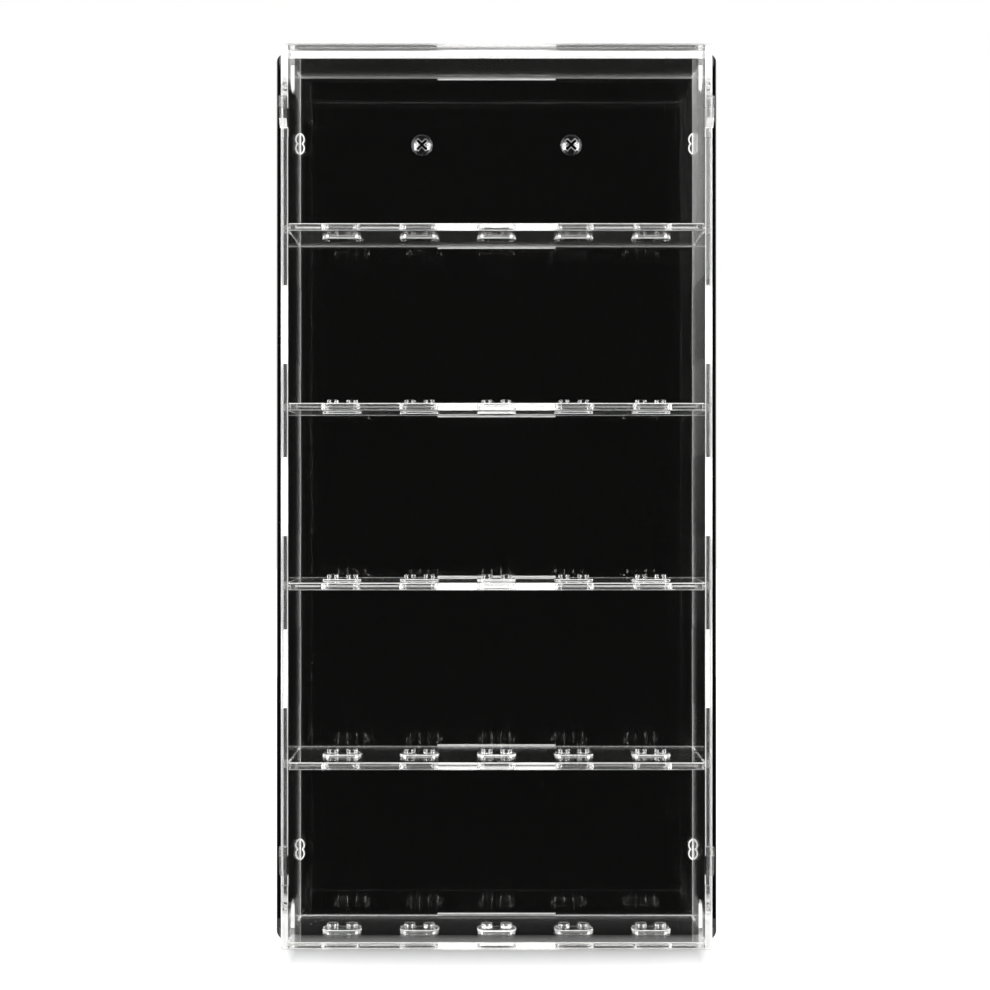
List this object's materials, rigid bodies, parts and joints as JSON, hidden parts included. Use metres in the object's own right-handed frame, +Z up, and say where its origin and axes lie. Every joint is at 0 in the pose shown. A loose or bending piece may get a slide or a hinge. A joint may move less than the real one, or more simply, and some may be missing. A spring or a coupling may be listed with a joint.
{
  "type": "figure display case",
  "caption": "Tall wall-mounted clear display case with shelves, rows of small twin-stud stands, a lift-off front panel and a black back panel.",
  "frame": {"origin": "middle of the back panel's rear face, which lies on the wall", "axes": "+X to the right seen from the front, +Y towards the wall, +Z up along the case's height"},
  "size_m": [0.1892, 0.0863, 0.3814],
  "materials": {
    "clear_acrylic": "clear polished acrylic sheet with laser-cut edges",
    "black_acrylic": "black gloss acrylic sheet",
    "clear_insert": "clear moulded plastic",
    "screw_steel": "bright zinc-plated steel"
  },
  "bodies": {
    "case": {"back_panel": "black_acrylic", "left_side": "clear_acrylic", "right_side": "clear_acrylic", "top_panel": "clear_acrylic", "bottom_panel": "clear_acrylic", "shelf_1": "clear_acrylic", "shelf_2": "clear_acrylic", "shelf_3": "clear_acrylic", "shelf_4": "clear_acrylic", "stud_stand_1_1": "clear_insert", "stud_stand_1_2": "clear_insert", "stud_stand_1_3": "clear_insert", "stud_stand_1_4": "clear_insert", "stud_stand_1_5": "clear_insert", "stud_stand_2_1": "clear_insert", "stud_stand_2_2": "clear_insert", "stud_stand_2_3": "clear_insert", "stud_stand_2_4": "clear_insert", "stud_stand_2_5": "clear_insert", "stud_stand_3_1": "clear_insert", "stud_stand_3_2": "clear_insert", "stud_stand_3_3": "clear_insert", "stud_stand_3_4": "clear_insert", "stud_stand_3_5": "clear_insert", "stud_stand_4_1": "clear_insert", "stud_stand_4_2": "clear_insert", "stud_stand_4_3": "clear_insert", "stud_stand_4_4": "clear_insert", "stud_stand_4_5": "clear_insert", "stud_stand_5_1": "clear_insert", "stud_stand_5_2": "clear_insert", "stud_stand_5_3": "clear_insert", "stud_stand_5_4": "clear_insert", "stud_stand_5_5": "clear_insert", "side_clip_upper_left": "clear_insert", "side_clip_upper_right": "clear_insert", "side_clip_lower_left": "clear_insert", "side_clip_lower_right": "clear_insert", "wall_screw_left": "screw_steel", "wall_screw_right": "screw_steel"},
    "front": {"front_panel": "clear_acrylic"}
  },
  "joints": [
    {"name": "front_lift", "type": "slide", "parent": "case", "child": "front", "axis": [0, 0, 1], "range_m": [0, 0.00405]}
  ]
}
